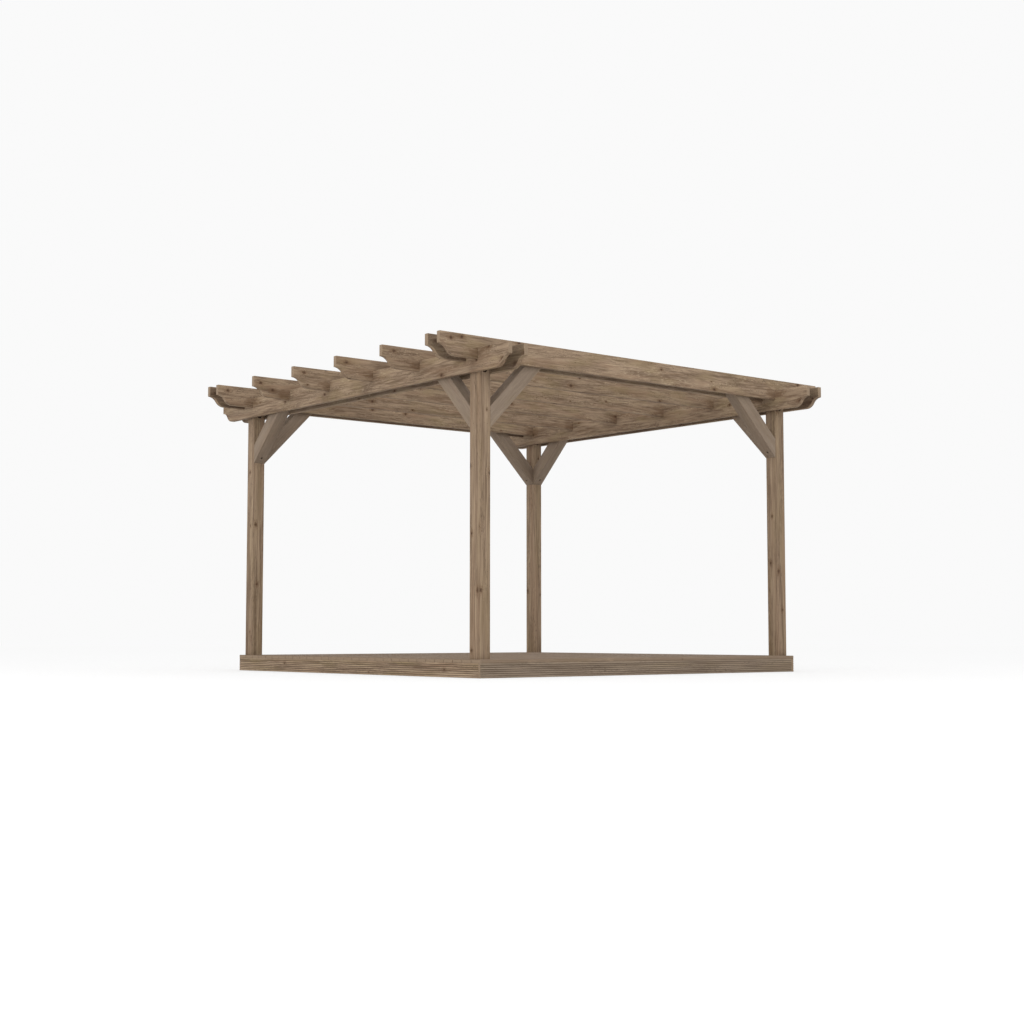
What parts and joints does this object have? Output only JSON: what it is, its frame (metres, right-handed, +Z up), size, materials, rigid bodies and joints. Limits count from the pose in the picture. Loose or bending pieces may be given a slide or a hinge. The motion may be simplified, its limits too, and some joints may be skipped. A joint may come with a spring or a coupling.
{
  "type": "wooden pergola",
  "caption": "Free-standing open-roofed wooden pergola with square posts, paired beams, notched rafters with shaped ends, corner braces and a low ribbed deck.",
  "frame": {"origin": "bottom centre of the bounding box, on the ground under the middle of the deck", "axes": "+X to the right along the rafters, +Y to the back along the beams, +Z up"},
  "size_m": [4.561, 4.57, 2.762],
  "materials": {
    "post_timber": "weathered sawn softwood, lengthwise grain, small dark knots",
    "roof_timber": "weathered planed softwood, lengthwise grain, small dark knots",
    "brace_timber": "smooth weathered softwood, little grain",
    "deck_board": "weathered softwood with fine lengthwise ribs",
    "joist_timber": "rough sawn softwood"
  },
  "bodies": {
    "root": {"post_front_left": "post_timber", "post_front_right": "post_timber", "post_back_left": "post_timber", "post_back_right": "post_timber", "beam_left_outer": "roof_timber", "beam_left_inner": "roof_timber", "beam_right_inner": "roof_timber", "beam_right_outer": "roof_timber", "rafter_front_outer": "roof_timber", "rafter_front_inner": "roof_timber", "rafter_single_1": "roof_timber", "rafter_single_2": "roof_timber", "rafter_single_3": "roof_timber", "rafter_single_4": "roof_timber", "rafter_back_inner": "roof_timber", "rafter_back_outer": "roof_timber", "side_brace_front_left": "brace_timber", "side_brace_front_right": "brace_timber", "side_brace_back_left": "brace_timber", "side_brace_back_right": "brace_timber", "end_brace_front_left": "brace_timber", "end_brace_front_right": "brace_timber", "end_brace_back_left": "brace_timber", "end_brace_back_right": "brace_timber", "fascia_front": "deck_board", "fascia_right": "deck_board", "fascia_back": "deck_board", "fascia_left": "deck_board", "deck_boards": "deck_board", "joist_1": "joist_timber", "joist_2": "joist_timber", "joist_3": "joist_timber", "joist_4": "joist_timber", "joist_5": "joist_timber", "joist_6": "joist_timber", "joist_7": "joist_timber"}
  },
  "joints": []
}
